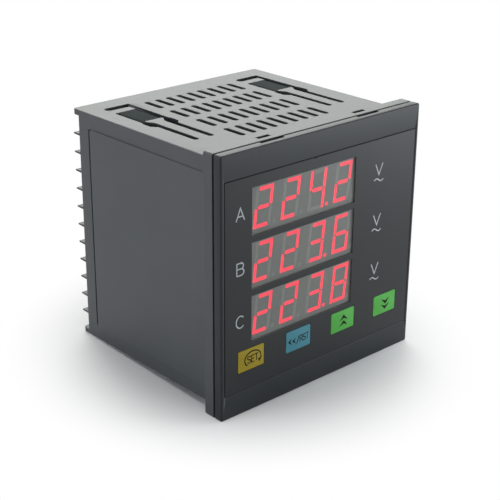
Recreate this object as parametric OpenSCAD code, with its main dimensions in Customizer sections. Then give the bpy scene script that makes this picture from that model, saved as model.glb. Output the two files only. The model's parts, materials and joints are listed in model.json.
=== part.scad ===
// Three-phase panel meter for a square panel cut-out. A snap-on bezel carries a printed
// overlay, a clear lens and four push keys in front of three four-digit displays. The
// vented case is held in the panel by clips that run on its four ratchet rails, and two
// columns of barrier terminals take the wires at the back.
// X runs to the reader's right, Y into the panel and Z up. The origin is the middle of the
// flange face that lies against the panel.

/* [Case] */
// Width and height of the case behind the panel
case_size = 90.2; // [90.2:0.2:120]
// Depth of the case behind the panel
case_depth = 77; // [77:0.5:110]
// Wall thickness of the case
wall = 2.1; // [1.8:0.1:2.6]
// How far the flange stands out past the case on every side
flange_rim = 2.9; // [2.5:0.1:6]
// Thickness of the flange
flange_t = 4.4; // [4:0.1:7]
// Radius of the flange and bezel corners
corner_r = 0.9; // [0.5:0.1:4]
// How far the top and bottom walls reach past the side walls at the back
lip_len = 3.6; // [2:0.1:5]
// Radius of the lip corners, seen from above
lip_r = 1.6; // [0.5:0.1:3]
// Radius along the long edges of the case
edge_r = 0.6; // [0.3:0.1:1.5]

/* [Side pads] */
// Height of the raised pad on each side above the wall
pad_rise = 0.45; // [0.1:0.05:0.6]
// Radius of the pad's rear corners
pad_r = 1.2; // [0.5:0.1:2]
// Distance from the pad to the top and to the bottom of the case
pad_margin = 5.7; // [3:0.1:12]
// Distance from the end of the side wall forward to the groove
groove_back = 5.8; // [3:0.1:12]
// Width of the groove behind the pad
groove_w = 1.2; // [0.6:0.1:2]
// Depth of that groove
groove_d = 1.0; // [0.3:0.1:1.2]

/* [Vents] */
// Number of slots in one row
vent_cols = 9; // [3:1:9]
// Number of rows on the top and on the bottom
vent_rows = 4; // [1:1:4]
// Distance between neighbouring slots
vent_pitch = 5.04; // [3.6:0.02:5.1]
// Distance between neighbouring rows
vent_row_pitch = 14.85; // [11.5:0.05:16]
// Length of one slot
vent_len = 10.2; // [4:0.1:11]
// Width of one slot
vent_w = 2.1; // [1:0.1:3]
// Distance from the panel to the middle of the first row
vent_first = 16.1; // [10:0.1:18]

/* [Clip rails] */
// Distance of each rail from the middle of the case
rail_x = 32; // [29.5:0.1:34]
// Distance from the panel to the front end of the rail slots
rail_start = 17.7; // [8:0.1:22]
// Length of the narrow part of the slots
rail_narrow = 19.7; // [10:0.1:20]
// Length of the gates where a clip's hooks drop in
gate_len = 7.4; // [5.5:0.1:10]
// Length of the slanted end of a gate
gate_ramp = 2.4; // [1:0.1:2.6]
// How far a gate reaches out past the wide slots
gate_flare = 0.4; // [0.1:0.1:0.6]
// Length of the wide part behind the gates
rail_wide = 26.0; // [20:0.1:30]
// Width of the slots
slot_w = 2.1; // [1.5:0.1:2.3]
// Width of the tongue between the narrow slots
tongue_w = 4.5; // [3:0.1:5]
// Width of the toothed rack between the wide slots
rack_w = 7.4; // [6:0.1:7.8]
// Length of the toothed rack
rack_len = 15.8; // [8:0.1:17]
// Length of the bridge between the rack and the cross slot
rail_bridge = 4.0; // [2:0.1:6]
// Width of the cross slot at the back of a rail
cross_w = 3.3; // [2:0.1:4]
// Distance between the teeth of the rack
tooth_pitch = 1.0; // [0.6:0.1:2]
// Height of the teeth
tooth_h = 0.6; // [0.2:0.05:0.8]
// Depth from the case surface to the tips of the teeth
rack_drop = 0.15; // [0.05:0.05:0.7]

/* [Bezel] */
// Thickness of the bezel from its face to the flange
bezel_t = 4.2; // [3.9:0.1:6]
// Thickness of the face plate under the overlay
plate_t = 1.5; // [1.2:0.1:2.2]
// Width of the open seam between bezel and flange
seam_gap = 0.75; // [0.2:0.05:1]
// Depth of that seam
seam_depth = 1.6; // [0.5:0.1:2]
// Chamfer around the front edge
front_chamfer = 0.5; // [0.2:0.1:1]
// Wall of the plug that enters the case
plug_wall = 1.4; // [1:0.1:2]
// Reach of the plug behind the panel face
plug_len = 2.6; // [2.2:0.1:6]
// Play around the plug
plug_play = 0.2; // [0.05:0.05:0.4]
// Distance of the snap hooks from the middle
snap_x = 23; // [18:0.1:28]
// Width of the snap windows in the flange
snap_w = 5.6; // [4:0.1:8]
// Length of the snap windows
snap_len = 1.7; // [1:0.05:2]
// Distance from the snap windows to the back of the flange
snap_back = 0.5; // [0.3:0.05:1.5]
// Height of the hooks above the plug
barb_h = 0.9; // [0.5:0.05:1.2]
// Width of the prising notches in the bezel's back edge
pry_w = 10.6; // [6:0.1:14]
// Depth of the prising notches
pry_d = 1.9; // [1:0.1:2.2]

/* [Overlay and lens] */
// Bezel left showing beside the overlay
overlay_side = 1.4; // [1:0.1:4]
// Bezel left showing above and below the overlay
overlay_end = 8.95; // [6:0.05:14]
// Thickness of the overlay
overlay_t = 0.3; // [0.2:0.05:0.6]
// Open groove around the overlay
overlay_gap = 0.28; // [0.05:0.01:0.5]
// Width of a display window
window_w = 49.4; // [40:0.1:50]
// Height of a display window
window_h = 17.1; // [14.6:0.1:18.5]
// Radius of the small notch in the overlay's top edge
notch_r = 0.5; // [0.3:0.1:1]
// Distance of that notch from the middle, to the left
notch_x = 5.3; // [0:0.1:30]
// Thickness of the clear lens
lens_t = 0.4; // [0.3:0.05:0.8]
// How far the lens laps over its opening
lens_lap = 0.5; // [0.3:0.05:0.6]

/* [Displays] */
// Distance of the displays from the middle, to the left
display_x = 9.6; // [4:0.1:9.8]
// Distance from the top of the bezel to the middle of the first display
display_top = 21.95; // [19:0.05:30]
// Distance between display rows
display_pitch = 19.4; // [19.1:0.05:19.6]
// Width of one display
module_w = 50.3; // [50:0.1:50.8]
// Height of one display
module_h = 19.0; // [18.4:0.1:19]
// Thickness of one display
module_t = 8.0; // [7:0.1:9]
// Distance between digits
digit_pitch = 12.7; // [12.2:0.1:12.7]
// Height of a digit
digit_h = 14.1; // [10:0.1:14.3]
// Width of a digit
digit_w = 7.4; // [6:0.1:7.6]
// Lean of the digits in degrees
digit_lean = 9.5; // [0:0.5:12]
// Width of a segment
segment_w = 1.45; // [1:0.05:1.8]
// Space between the tips of neighbouring segments
segment_gap = 0.3; // [0.1:0.05:0.6]
// Radius of a decimal point
point_r = 0.75; // [0.5:0.05:0.9]
// Depth of the segment wells
segment_d = 0.4; // [0.2:0.05:1]

/* [Keys] */
// Width of a key
key_w = 12.0; // [9:0.1:13]
// Height of a key
key_h = 8.1; // [6:0.1:8.2]
// Distance between keys
key_pitch = 22.7; // [16:0.1:23]
// Distance from the bottom of the bezel to the middle of the keys
key_z = 20.4; // [17:0.1:20.5]
// Play around a key
key_play = 0.15; // [0.1:0.01:0.25]
// How far a key's edge stands proud of the overlay
key_proud = 0.1; // [0:0.05:0.5]
// Radius of a key's corners
key_r = 0.5; // [0.2:0.1:1]
// Rim of a key left flat around its oval dome
dome_rim = 0.3; // [0.1:0.1:1.5]
// Rise of the oval dome on a key
dome_rise = 0.4; // [0.2:0.05:0.8]
// Overlap of the key's flange behind the plate
key_catch = 0.5; // [0.3:0.05:0.6]
// Thickness of the key's flange
key_flange_t = 0.6; // [0.4:0.05:0.8]
// Radius of the stem from key to button
stem_r = 2.2; // [1.8:0.1:2.6]
// How far the row of keys sits to the left of the middle
key_shift = 0.35; // [0:0.05:1.5]
// Travel of a key
key_travel = 0.3; // [0.2:0.05:0.4]
// Height of the tact switches from board to button tip
switch_h = 6.0; // [5.6:0.1:6.1]

/* [Boards] */
// Thickness of every circuit board
board_t = 1.6; // [1:0.1:2]
// Play of the display board inside the plug
board_play = 0.4; // [0.2:0.05:1]
// Distance from the side wall to the outer face of a side board
side_board_gap = 2.0; // [1.6:0.1:4]
// Height of the guide ribs that hold the side boards
rib_h = 2.4; // [1.5:0.1:4]
// Thickness of the guide ribs
rib_t = 0.8; // [0.6:0.1:1.2]
// Play of a side board between its ribs
rib_play = 0.1; // [0.05:0.05:0.3]
// Radius of the screws that hold the display board
board_screw_r = 1.3; // [1:0.1:1.5]
// Length of those screws under the head
board_screw_len = 6.0; // [5:0.1:6.4]

/* [Terminals] */
// Distance between terminals in a column
term_pitch = 7.16; // [6.6:0.02:9]
// Thickness of the barrier fins at the deck
fin_t = 1.0; // [0.8:0.1:1.2]
// Thickness of the barrier fins at their tips
fin_tip_t = 0.6; // [0.4:0.1:0.8]
// Width of a terminal block inside the case
block_w = 11.6; // [11:0.1:16]
// Distance from the ends of the lips forward to the seat of the clamps
deck_back = 6.5; // [5.5:0.1:8]
// Thickness of the terminal block behind its clamps
block_t = 6.5; // [5.5:0.1:9]
// Play of a terminal block in the case
block_play = 0.1; // [0.05:0.01:0.3]
// Thickness of the wall panel between the terminal blocks
rear_t = 2.0; // [1.5:0.1:3]
// Distance from the case's side to the terminal screws
screw_in = 6.6; // [6.2:0.1:7.5]
// Radius of a terminal screw's thread
screw_r = 1.5; // [1.25:0.05:1.75]
// Radius of a terminal screw's head
head_r = 2.75; // [2.2:0.05:2.8]
// Height of a terminal screw's head
head_h = 1.8; // [1.2:0.1:2.2]
// Width of the square clamp washers
washer_w = 5.8; // [5:0.1:5.9]
// Thickness of the clamp washers
washer_t = 0.9; // [0.5:0.1:1.2]
// Thickness of the brass contacts
contact_t = 0.8; // [0.5:0.1:1.2]
// How far the contacts' legs lie along the side boards
leg_reach = 6.5; // [3:0.1:7]

/* [Hidden] */

// Solid faces that meet are kept this far apart where one slides in the other
tiny = 0.02;
// Reach of a cut past the face that it opens
over = 1;
// Depth that one shape is sunk into another of the same piece
sink = 0.1;
// Space that two pieces keep where neither has to touch the other
gap = 0.1;

case_in = case_size - 2 * wall;
front_size = case_size + 2 * flange_rim;
face_y = -flange_t - bezel_t;
side_end = case_depth - lip_len;
pad_h = case_size - 2 * pad_margin;
pad_end = side_end - groove_back - groove_w;

gate_y = rail_start + rail_narrow;
gate_end = gate_y + gate_len;
wide_end = gate_end - gate_ramp + rail_wide;
rack_end = wide_end - cross_w - rail_bridge;

plate_front = face_y + overlay_t;
plate_rear = plate_front + plate_t;
plug_out = case_in - 2 * plug_play;
plug_in = plug_out - 2 * plug_wall;
plug_r = 1;
window_y1 = -snap_back;
window_y0 = window_y1 - snap_len;
// Play beside a hook in its window, and along Y
hook_side = 0.3;
hook_end = 0.1;
// Flat on top of a hook, and its root in the plug's wall
hook_flat = 0.4;
hook_root = 0.5;
// Width of the slits beside a hook, and the stretch of plug that they leave in front
slit_w = 0.8;
slit_front = 1.2;

overlay_w = front_size - 2 * overlay_side;
overlay_h = front_size - 2 * overlay_end;
overlay_r = 0.4;

// Play around the displays, and between a display and the lens
module_play = 0.2;
lens_gap = 0.05;
module_y = plate_front + lens_t + lens_gap;
board_y = module_y + module_t;
top_row_z = front_size / 2 - display_top;
rows_h = 2 * display_pitch + module_h;
rows_mid_z = top_row_z - display_pitch;
opening_w = module_w + 2 * module_play;
opening_h = rows_h + 2 * module_play;
lens_w = opening_w + 2 * lens_lap;
lens_h = opening_h + 2 * lens_lap;
// Place of a decimal point, from the lower right corner of its digit
point_x = 1.4;
point_z = 0.8;

key_row_z = key_z - front_size / 2;
key_xs = [for (i = [0:3]) (i - 1.5) * key_pitch - key_shift];
key_hole_w = key_w + 2 * key_play;
key_hole_h = key_h + 2 * key_play;
key_flange_w = key_hole_w + 2 * key_catch;
key_flange_h = key_hole_h + 2 * key_catch;
key_flange_y = plate_rear + gap;
// Body of a tact switch: width, corner radius and height
switch_w = 6;
switch_r = 0.4;
switch_body = 3.5;
button_r = 1.75;
button_play = 0.1;
button_tip = board_y - switch_h;
// How far a button stands in its switch, and the room under it beyond the travel
button_root = 0.95;
button_room = 0.35;

board_size = plug_in - 2 * board_play;
board_rear = board_y + board_t;
board_r = 1;
// Screw bosses: distance from the plug's walls, radius, and depth of the bores
boss_in_x = 3;
boss_in_z = 5.4;
boss_r = 2.3;
boss_bore = 5;
board_hole_play = 0.15;
boss_x = plug_in / 2 - boss_in_x;
boss_z = plug_in / 2 - boss_in_z;
// Head of a board screw, and its cross recess
pan_r = 2.3;
pan_h = 1.5;
board_cross = [3, 0.8, 0.6];

header_w = 2.5;
header_n = 10;
header_pitch = 2.54;
pin_w = 0.64;
pin_reach = 4.5;
side_x = case_in / 2 - side_board_gap;
board_face_x = side_x - board_t;
side_board_y0 = board_rear + header_w + gap;
deck_y = case_depth - deck_back;
block_y0 = deck_y - block_t;
side_board_y1 = block_y0 - gap;
side_board_end = 1.4;
side_board_h = case_in - 2 * side_board_end;
rib_end = 1;

block_in_x = case_in / 2 - block_w;
block_h = case_in - 2 * block_play;
fin_end = case_depth - gap;
term_n = floor((case_in + gap) / term_pitch);
screw_x = case_size / 2 - screw_in;
// Inner wall of a terminal block, and the lip that it lays on the rear panel
block_wall = 1.5;
block_lip = 1.2;
block_lip_t = 1.4;
// Legs of the contacts: section, play in their slots, and distance from the screw
leg_w = 0.75;
leg_t = 1.2;
leg_play = 0.05;
leg_z = screw_r + 0.25;
// Contact plates: inner end before the screw, outer end before the wall, and side play
plate_in = 3.9;
plate_out = 0.7;
plate_side = 0.3;
contact_y = deck_y + contact_t;
washer_y = contact_y + washer_t;
// Length of a terminal screw below the deck, depth of its bore, and its cross recess
screw_len = 4.5;
screw_bore = 5;
screw_play = 0.2;
screw_cross = [3.6, 1, 0.7];

// Supply transformer: width, height and stack of the core, its middle leg, and its place
core_w = 30;
core_h = 25;
core_t = 11;
core_leg = 10;
core_y = 24;
core_z = -14;
core_play = 0.1;
// Wall, flange and flange overhang of the bobbin
bobbin_wall = 1;
bobbin_flange = 1;
bobbin_out = 5.5;
// Winding: distance from the core's legs, distance inside the flanges, and corner radius
winding_gap = 0.4;
winding_in = 0.8;
winding_r = 1.5;

// Parts on the back of the display board
chip_row_z = 8;
processor_x = -6;
driver_x = 22;
crystal_x = 8;
crystal_w = 6.8;
crystal_r = 2.3;
crystal_h = 3.6;

// Parts on the left board: y is the distance from the panel
phase_zs = [-24, 0, 24];
sensor_y = 46;
sensor_w = 18.5;
sensor_len = 17.5;
sensor_h = 17;
sensor_r = 1;
metering_y = 15.6;
resistor_y = 28;
resistor_dz = 4;
resistor_r = 1.25;
resistor_len = 6.4;
resistor_up = 2;
wire_r = 0.3;
wire_span = 11;

// Parts on the right board: a pair is the distance from the panel and the height
main_cap = [20, 20];
output_cap = [34, 20];
bridge = [28, 34];
reg_place = [48, 20];
reg_w = 10.2;
reg_up = 3;
reg_body = 9;
reg_tab = 6;
reg_back = 0.4;
reg_hole_r = 1.8;
relay_zs = [-31, -13];
relay_y = 46.5;
relay_w = 15.5;
relay_len = 19;
relay_h = 15;
relay_r = 0.6;

// Seven-segment patterns of the figures 0 to 9, in the order a, b, c, d, e, f, g
FIGURES = [
    [1, 1, 1, 1, 1, 1, 0], [0, 1, 1, 0, 0, 0, 0], [1, 1, 0, 1, 1, 0, 1], [1, 1, 1, 1, 0, 0, 1],
    [0, 1, 1, 0, 0, 1, 1], [1, 0, 1, 1, 0, 1, 1], [1, 0, 1, 1, 1, 1, 1], [1, 1, 1, 0, 0, 0, 0],
    [1, 1, 1, 1, 1, 1, 1], [1, 1, 1, 1, 0, 1, 1],
];
// The figures that the three rows show, with a point after the third
READINGS = [[2, 2, 4, 2], [2, 2, 3, 6], [2, 2, 3, 8]];
POINT_AFTER = 2;

// ---- shared shapes ----

module rounded(w, h, r) {
    union() {
        square([w - 2 * r, h], center = true);
        square([w, h - 2 * r], center = true);
        for (x = [-1, 1], y = [-1, 1])
            translate([x * (w / 2 - r), y * (h / 2 - r)])
                circle(r, $fn = 48);
    }
}

// Raises a drawing of the front view into a plate from y0 to y1
module front_plate(y0, y1) {
    translate([0, y1, 0])
        rotate([90, 0, 0])
            linear_extrude(y1 - y0)
                children();
}

// A round bar along Y
module bar_y(r, y0, y1, fn = 48) {
    translate([0, y1, 0])
        rotate([90, 0, 0])
            cylinder(r = r, h = y1 - y0, $fn = fn);
}

// A box given by its lowest and highest corner
module box(a, b) {
    translate(a)
        cube(b - a);
}

// The same thing on the left, and turned half round the Y axis on the right
module both_sides() {
    children();
    rotate([0, 180, 0])
        children();
}

// ---- case ----

// One vent slot, drawn from above
module vent_slot() {
    union() {
        square([vent_w, vent_len - vent_w], center = true);
        for (e = [-1, 1])
            translate([0, e * (vent_len - vent_w) / 2])
                circle(vent_w / 2, $fn = 24);
    }
}

module vents() {
    for (c = [0:vent_cols - 1], r = [0:vent_rows - 1])
        translate([(c - (vent_cols - 1) / 2) * vent_pitch, vent_first + r * vent_row_pitch])
            vent_slot();
}

// The slots of one clip rail, drawn from above about the rail's middle
module rail_slots() {
    narrow_x = tongue_w / 2;
    wide_x = rack_w / 2;
    gate_x = wide_x + slot_w + gate_flare;
    wide_y0 = gate_end - over;
    for (s = [-1, 1]) {
        translate([s * (narrow_x + slot_w / 2), rail_start + slot_w / 2])
            circle(slot_w / 2, $fn = 24);
        translate([s > 0 ? narrow_x : -narrow_x - slot_w, rail_start + slot_w / 2])
            square([slot_w, gate_y - rail_start]);
        polygon([
            [s * narrow_x, gate_y],
            [s * (narrow_x + slot_w), gate_y],
            [s * gate_x, gate_y + gate_ramp],
            [s * gate_x, gate_end - gate_ramp / 2],
            [s * (wide_x + slot_w), gate_end],
            [s * wide_x, gate_end],
            [s * narrow_x, gate_end - gate_ramp],
        ]);
    }
    translate([wide_x, wide_y0])
        square([slot_w, wide_end - wide_y0]);
    translate([-wide_x - slot_w, wide_y0])
        square([slot_w, rack_end - wide_y0 - slot_w / 2]);
    translate([-wide_x - slot_w / 2, rack_end - slot_w / 2])
        circle(slot_w / 2, $fn = 24);
    translate([-wide_x - slot_w + cross_w / 2, wide_end - cross_w])
        square([2 * wide_x + 2 * slot_w - cross_w / 2, cross_w]);
    translate([-wide_x - slot_w + cross_w / 2, wide_end - cross_w / 2])
        circle(cross_w / 2, $fn = 24);
}

// The rack of one rail: a shallow pocket whose floor is cut into saw teeth. The steep side
// of each tooth faces the panel, so a clip slides forwards over them and can't slide back.
module rack_pocket() {
    n = floor(rack_len / tooth_pitch);
    y0 = rack_end - n * tooth_pitch;
    translate([-rack_w / 2, 0, case_size / 2])
        rotate([90, 0, 90])
            linear_extrude(rack_w)
                polygon([
                    [y0, over],
                    for (i = [0:n - 1], k = [0, 1])
                        [y0 + (i + k) * tooth_pitch, -rack_drop - k * tooth_h],
                    [rack_end, over],
                ]);
}

module rail_cuts() {
    for (x = [-rail_x, rail_x])
        translate([x, 0, 0]) {
            translate([0, 0, case_in / 2 - over])
                linear_extrude(wall + 2 * over)
                    rail_slots();
            rack_pocket();
        }
}

// Windows through the flange that the bezel's hooks snap into
module snap_windows() {
    for (x = [-snap_x, snap_x], s = [-1, 1])
        translate([x, (window_y0 + window_y1) / 2, s * (front_size + case_in) / 4])
            cube([snap_w, snap_len, (front_size - case_in) / 2 + 2 * over], center = true);
}

// Ribs that guide the two side boards along the top and bottom walls
module guide_ribs() {
    y0 = side_board_y0 + rib_end;
    y1 = side_board_y1 - leg_reach - rib_end;
    off = rib_play + rib_t / 2;
    for (x = [board_face_x - off, side_x + off], sx = [-1, 1], sz = [-1, 1])
        translate([sx * x, (y0 + y1) / 2, sz * (case_in / 2 - rib_h / 2 + sink / 2)])
            cube([rib_t, y1 - y0, rib_h + sink], center = true);
}

// Outline of a side pad in the view from the side, and the same moved back by shift
module pad_outline(shift = 0) {
    translate([0, (pad_end - flange_t / 2) / 2 + shift])
        rounded(pad_h, pad_end + flange_t / 2, pad_r);
}

// Raises a drawing of the side view on both sides of the case, by rise out and as much in
module on_sides(rise) {
    for (s = [-1, 1])
        translate([s * case_size / 2, 0, 0])
            rotate([0, 90, 0])
                linear_extrude(2 * rise, center = true)
                    children();
}

// Rounds the corners of the lips, seen from above
module lip_corner_cuts() {
    for (s = [-1, 1])
        translate([s * (case_size / 2 - lip_r), case_depth - lip_r, -case_size])
            linear_extrude(2 * case_size)
                difference() {
                    translate([s > 0 ? 0 : -lip_r - over, 0])
                        square(lip_r + over);
                    circle(lip_r, $fn = 48);
                }
}

module case() {
    inner_end = side_end - rear_t;
    color([0.23, 0.24, 0.25]) {
        difference() {
            union() {
                front_plate(-flange_t, 0)
                    rounded(front_size, front_size, corner_r);
                front_plate(-over, case_depth)
                    rounded(case_size, case_size, edge_r);
                on_sides(pad_rise)
                    pad_outline();
            }
            box([-case_in / 2, -flange_t - over, -case_in / 2],
                [case_in / 2, inner_end, case_in / 2]);
            box([-case_size, side_end, -case_in / 2],
                [case_size, case_depth + over, case_in / 2]);
            for (s = [-1, 1])
                translate([s * (case_in / 2 - block_w / 2), side_end - rear_t / 2, 0])
                    cube([block_w, rear_t + 2 * over, case_in], center = true);
            on_sides(groove_d)
                difference() {
                    pad_outline(groove_w);
                    pad_outline();
                    translate([-pad_h, -case_depth])
                        square([2 * pad_h, case_depth + pad_end - pad_r]);
                }
            lip_corner_cuts();
            translate([0, 0, -case_size])
                linear_extrude(2 * case_size)
                    vents();
            rail_cuts();
            rotate([0, 180, 0])
                rail_cuts();
            snap_windows();
        }
        guide_ribs();
    }
}

// ---- bezel ----

// Cuts that chamfer the four front edges
module front_chamfers() {
    side = front_chamfer * sqrt(2);
    for (a = [0, 90, 180, 270])
        rotate([0, a, 0])
            translate([0, face_y, front_size / 2])
                rotate([45, 0, 0])
                    cube([front_size + 2 * over, side, side], center = true);
}

// The display opening, with the rebate that seats the lens
module display_opening() {
    translate([-display_x, 0, rows_mid_z]) {
        front_plate(face_y - over, plate_rear + over)
            square([opening_w, opening_h], center = true);
        front_plate(face_y - over, plate_front + lens_t)
            square([lens_w + 2 * tiny, lens_h + 2 * tiny], center = true);
    }
}

// Holes for the key caps, and behind the plate the room in which their flanges move
module key_openings() {
    for (x = key_xs)
        translate([x, 0, key_row_z]) {
            front_plate(plate_front - over, plate_rear + over)
                square([key_hole_w, key_hole_h], center = true);
            front_plate(plate_rear, key_flange_y + key_flange_t + key_travel + gap)
                square([key_flange_w + 2 * gap, key_flange_h + 2 * gap], center = true);
        }
}

// Hooks on the plug that snap into the windows of the flange
module snap_hooks() {
    z = plug_out / 2;
    front = window_y0 + hook_end;
    back = window_y1 - hook_end;
    for (x = [-snap_x, snap_x], a = [0, 180])
        rotate([0, a, 0])
            translate([x - snap_w / 2 + hook_side, 0, 0])
                rotate([90, 0, 90])
                    linear_extrude(snap_w - 2 * hook_side)
                        polygon([
                            [front, z - hook_root],
                            [front, z + barb_h],
                            [front + hook_flat, z + barb_h],
                            [back, z],
                            [back, z - hook_root],
                        ]);
}

// Slits beside the hooks, so that each can spring inwards
module hook_slits() {
    y0 = slit_front - flange_t;
    for (x = [-snap_x, snap_x], e = [-1, 1], s = [-1, 1])
        translate([x + e * (snap_w + slit_w / 2) / 2, 0, s * (plug_out - plug_wall) / 2])
            translate([0, (y0 + plug_len + over) / 2, 0])
                cube([slit_w, plug_len + over - y0, plug_wall + 2 * plug_play], center = true);
}

// Places its children at the four screws of the display board
module at_bosses() {
    for (x = [-boss_x, boss_x], z = [-boss_z, boss_z])
        translate([x, 0, z])
            children();
}

module bezel() {
    inner_size = front_size - 2 * seam_depth;
    color([0.19, 0.20, 0.21]) {
        difference() {
            union() {
                front_plate(face_y, -flange_t - seam_gap)
                    rounded(front_size, front_size, corner_r);
                front_plate(face_y + over, -flange_t)
                    rounded(inner_size, inner_size, corner_r);
                front_plate(-flange_t - over, plug_len)
                    rounded(plug_out, plug_out, plug_r);
            }
            front_plate(plate_rear, plug_len + over)
                rounded(plug_in, plug_in, plug_r);
            front_plate(face_y - over, plate_front)
                rounded(overlay_w, overlay_h, overlay_r + overlay_gap);
            front_chamfers();
            display_opening();
            key_openings();
            for (x = [-snap_x, snap_x], s = [-1, 1])
                translate([x, -flange_t - (pry_d - over) / 2, s * front_size / 2])
                    cube([pry_w, pry_d + over, 2 * seam_depth], center = true);
            hook_slits();
        }
        snap_hooks();
        difference() {
            at_bosses()
                bar_y(boss_r, plate_rear - sink, board_y);
            at_bosses()
                bar_y(board_screw_r, board_y - boss_bore, board_y + over);
        }
    }
}

// ---- overlay and lens ----

module overlay() {
    w = overlay_w - 2 * overlay_gap;
    h = overlay_h - 2 * overlay_gap;
    color([0.20, 0.22, 0.23])
        front_plate(face_y, plate_front)
            difference() {
                rounded(w, h, overlay_r);
                for (i = [0:2])
                    translate([-display_x, top_row_z - i * display_pitch])
                        square([window_w, window_h], center = true);
                for (x = key_xs)
                    translate([x, key_row_z])
                        square([key_hole_w, key_hole_h], center = true);
                translate([-notch_x, h / 2])
                    circle(notch_r, $fn = 32);
            }
}

module display_lens() {
    color([0.80, 0.84, 0.82, 0.35])
        translate([-display_x, 0, rows_mid_z])
            front_plate(plate_front, plate_front + lens_t)
                square([lens_w, lens_h], center = true);
}

// ---- displays ----

// Moves a point of an upright digit to where the lean puts it
function lean(p) = [p[0] + p[1] * tan(digit_lean), p[1]];

// Outline of one segment, about its own middle, along X or along Z
function bar_outline(length, t, upright) = let (l = length / 2, h = t / 2) [
    for (p = [[-l, 0], [h - l, h], [l - h, h], [l, 0], [l - h, -h], [h - l, -h]])
        upright ? [p[1], p[0]] : p
];

// Middle of each segment, and whether it is upright, in the order a to g
SEGMENTS = let (w = (digit_w - segment_w) / 2, h = (digit_h - segment_w) / 2) [
    [0, h, false], [w, h / 2, true], [w, -h / 2, true], [0, -h, false],
    [-w, -h / 2, true], [-w, h / 2, true], [0, 0, false],
];

// One segment of a digit, larger than the well by grow all round
module segment(i, grow) {
    s = SEGMENTS[i];
    length = (s[2] ? (digit_h - segment_w) / 2 : digit_w - segment_w) - segment_gap + 2 * grow;
    polygon([for (p = bar_outline(length, segment_w + 2 * grow, s[2])) lean(p + [s[0], s[1]])]);
}

// The decimal point to the right of a digit
module decimal_point(grow) {
    translate(lean([digit_w / 2 + point_x, -digit_h / 2 + point_z]))
        circle(point_r + grow, $fn = 32);
}

// Places the drawing of one digit position of a display
module at_digit(position) {
    translate([(position - 1.5) * digit_pitch, 0])
        children();
}

// Lit is true or false, or undef for every segment
module segments(row, lit, grow) {
    for (position = [0:3])
        at_digit(position) {
            for (i = [0:6])
                if (lit == undef || (FIGURES[READINGS[row][position]][i] == 1) == lit)
                    segment(i, grow);
            if (lit == undef || (position == POINT_AFTER) == lit)
                decimal_point(grow);
        }
}

module at_row(row) {
    translate([-display_x, 0, top_row_z - row * display_pitch])
        children();
}

// Display housing: a deep tray with the wells for its segments
module display_housing(row) {
    color([0.45, 0.46, 0.43])
        at_row(row)
            difference() {
                front_plate(module_y, board_y)
                    square([module_w, module_h], center = true);
                front_plate(module_y - over, module_y + segment_d)
                    segments(row, undef, tiny);
            }
}

module display_a() {
    display_housing(0);
}

module display_b() {
    display_housing(1);
}

module display_c() {
    display_housing(2);
}

module segment_set(lit) {
    for (row = [0:2])
        at_row(row)
            front_plate(module_y, module_y + segment_d)
                segments(row, lit, 0);
}

module lit_segments() {
    color([1.0, 0.28, 0.36])
        segment_set(true);
}

module dark_segments() {
    color([0.52, 0.53, 0.50])
        segment_set(false);
}

// ---- keys and switches ----

// Radius of an arc that rises by rise over a chord of 2 * half
function arc_radius(half, rise) = (half * half + rise * rise) / (2 * rise);

// An oval dome, w by h, that rises towards the reader from the plane y
module oval_dome(w, h, rise, y) {
    along = arc_radius(w / 2, rise);
    around = arc_radius(h / 2, rise);
    steps = 12;
    intersection() {
        translate([0, y - rise + around, 0])
            rotate([0, 90, 0])
                rotate_extrude($fn = 240)
                    polygon([
                        [0, -w / 2],
                        for (i = [-steps:steps])
                            let (x = i * w / 2 / steps)
                                [around - along + sqrt(along * along - x * x), x],
                        [0, w / 2],
                    ]);
        front_plate(y - rise - over, y + sink / 2)
            square([w, h], center = true);
    }
}

// A key: cap with an oval dome, flange behind the face plate, and the stem to its button
module key(i) {
    cap_y = face_y - key_proud;
    translate([key_xs[i], 0, key_row_z]) {
        front_plate(cap_y, key_flange_y + key_flange_t / 2)
            rounded(key_w, key_h, key_r);
        oval_dome(key_w - 2 * dome_rim, key_h - 2 * dome_rim, dome_rise, cap_y);
        front_plate(key_flange_y, key_flange_y + key_flange_t)
            square([key_flange_w, key_flange_h], center = true);
        bar_y(stem_r, key_flange_y + key_flange_t / 2, button_tip);
    }
}

module set_key() {
    color([0.80, 0.65, 0.14])
        key(0);
}

module shift_key() {
    color([0.28, 0.62, 0.76])
        key(1);
}

module up_key() {
    color([0.33, 0.75, 0.30])
        key(2);
}

module down_key() {
    color([0.33, 0.75, 0.30])
        key(3);
}

// The button of one tact switch: it carries the key above it
module button(i) {
    color([0.12, 0.12, 0.12])
        translate([key_xs[i], 0, key_row_z])
            bar_y(button_r, button_tip, board_y - switch_body + button_root);
}

module set_button() {
    button(0);
}

module shift_button() {
    button(1);
}

module up_button() {
    button(2);
}

module down_button() {
    button(3);
}

// Four tact switch bodies on the display board, each bored for its button
module tact_switches() {
    top = board_y - switch_body;
    bore_end = top + button_root + key_travel + button_room;
    color([0.25, 0.25, 0.26])
        for (x = key_xs)
            translate([x, 0, key_row_z])
                difference() {
                    front_plate(top, board_y)
                        rounded(switch_w, switch_w, switch_r);
                    bar_y(button_r + button_play, top - over, bore_end);
                }
}

// ---- display board ----

module display_board() {
    color([0.10, 0.36, 0.18])
        difference() {
            front_plate(board_y, board_rear)
                rounded(board_size, board_size, board_r);
            at_bosses()
                bar_y(board_screw_r + board_hole_play, board_y - over, board_rear + over);
        }
}

// Two crossed slots, centred on the end face y of a screw
module cross_recess(y, size) {
    for (a = [0, 90])
        rotate([0, a, 0])
            translate([0, y, 0])
                cube([size[0], 2 * size[1], size[2]], center = true);
}

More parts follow.
